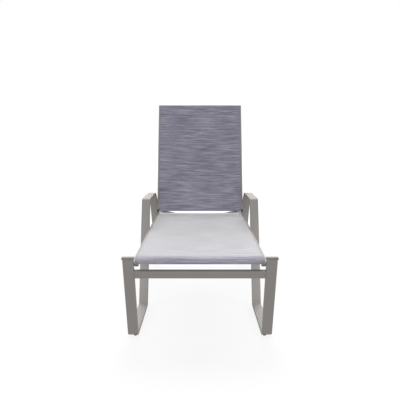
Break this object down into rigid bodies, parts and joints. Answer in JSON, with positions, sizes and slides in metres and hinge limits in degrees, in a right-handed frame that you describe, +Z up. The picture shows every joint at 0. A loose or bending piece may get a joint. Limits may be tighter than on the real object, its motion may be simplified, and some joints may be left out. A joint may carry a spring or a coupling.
{
  "type": "sun lounger",
  "caption": "Outdoor chaise lounger with bent flat-tube arms, stretched sling seat and a back that reclines on a notched prop.",
  "frame": {"origin": "on the floor, under the centre of the whole lounger's bounding box", "axes": "+Y from the foot end to the head end, +X to the right seen from the foot end, +Z up"},
  "size_m": [0.718, 1.7274, 1.2229],
  "materials": {
    "frame": "satin",
    "seat_weave": "matte",
    "back_weave": "matte",
    "caps": "satin",
    "black_nylon": "satin",
    "steel": "satin",
    "spline": "matte"
  },
  "bodies": {
    "base": {"side_frame_right": "frame", "side_frame_left": "frame", "front_leg_caps": "caps", "rear_feet": "caps", "runner_glides": "black_nylon", "front_stretcher": "frame", "rear_stretcher": "frame", "seat_rail_right": "frame", "seat_rail_left": "frame", "seat_rail_plugs": "caps", "rail_spacers": "black_nylon", "frame_bolts": "steel", "seat_brace_front": "frame", "seat_brace_middle": "frame", "rear_brace": "frame", "end_brace": "frame", "seat_sling": "seat_weave", "seat_splines": "spline", "hinge_lugs": "steel", "hinge_pins": "steel", "rack_right": "steel", "rack_left": "steel", "rack_screws": "steel"},
    "back": {"back_rail_right": "frame", "back_rail_left": "frame", "back_rail_plugs": "caps", "hinge_knuckle_right": "black_nylon", "hinge_knuckle_left": "black_nylon", "back_brace_lower": "frame", "back_brace_upper": "frame", "back_sling": "back_weave", "back_splines": "spline", "prop_pins": "steel", "prop_spacers": "black_nylon"},
    "prop": {"prop_arm_right": "steel", "prop_arm_left": "steel", "prop_rod": "steel", "prop_collars": "black_nylon"}
  },
  "joints": [
    {"name": "back_recline", "type": "hinge", "parent": "base", "child": "back", "pos_m": [0, 0.32988, 0.46649], "axis": [-1, 0, 0], "range_deg": [0, 70.7]},
    {"name": "prop_swing", "type": "hinge", "parent": "back", "child": "prop", "pos_m": [0, 0.40405, 0.69474], "axis": [1, 0, 0], "range_deg": [0, 142]}
  ],
  "couplings": [
    {"joint": "prop_swing", "follows": "back_recline", "ratio": 2}
  ]
}
